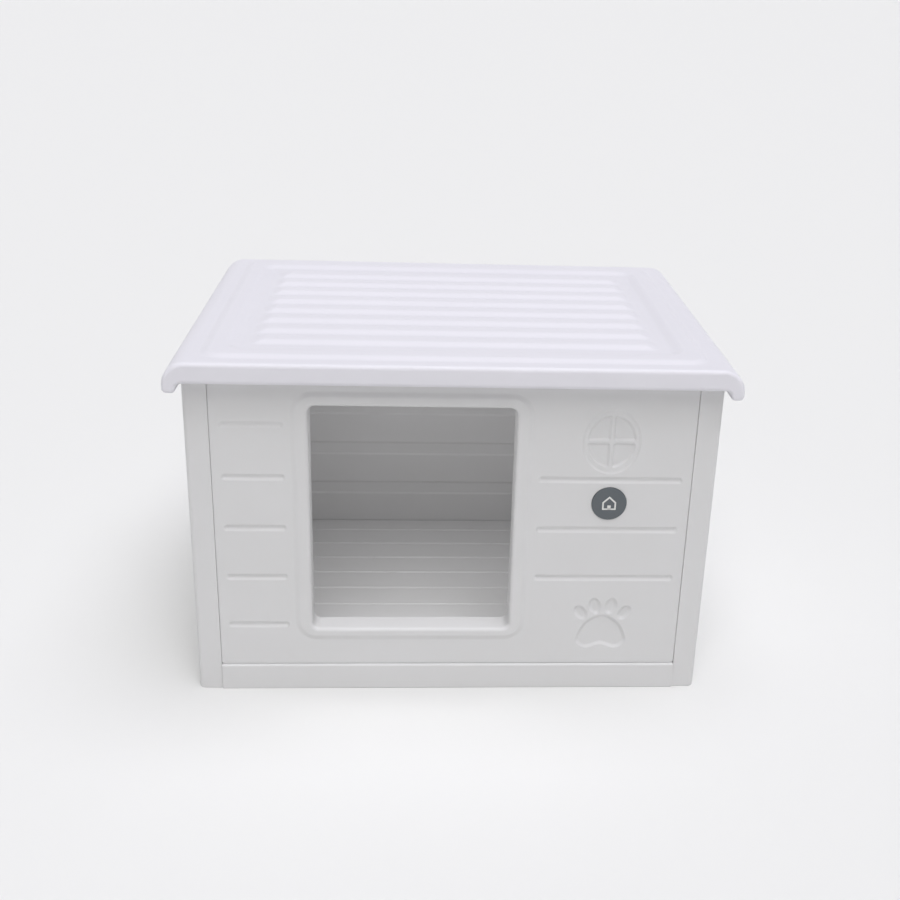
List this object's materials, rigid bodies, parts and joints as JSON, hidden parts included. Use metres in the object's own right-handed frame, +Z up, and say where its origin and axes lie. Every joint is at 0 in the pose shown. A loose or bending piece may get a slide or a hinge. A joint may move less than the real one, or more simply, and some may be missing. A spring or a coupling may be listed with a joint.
{
  "type": "plastic pet house",
  "caption": "Knock-down plastic house for a cat or small dog: ribbed floor tray, double-wall panels, off-centre doorway and a lift-off ribbed roof.",
  "frame": {"origin": "on the ground, at the middle of the house's footprint under the roof outline", "axes": "+X right seen from the doorway side, +Y from the doorway to the back, +Z up"},
  "size_m": [0.632, 0.468, 0.422],
  "materials": {
    "wall_plastic": "satin moulded, fine grain",
    "roof_plastic": "satin moulded, fine grain",
    "badge_plastic": "satin, dark slate",
    "badge_print": "satin, light grey"
  },
  "bodies": {
    "house": {"base_tray": "wall_plastic", "side_panel_left": "wall_plastic", "side_panel_right": "wall_plastic", "front_panel": "wall_plastic", "back_panel": "wall_plastic", "badge_disc": "badge_plastic", "badge_glyph": "badge_print"},
    "roof": {"roof": "roof_plastic"}
  },
  "joints": [
    {"name": "roof_lift", "type": "slide", "parent": "house", "child": "roof", "axis": [0, 0, 1], "range_m": [0, 0.12]}
  ]
}
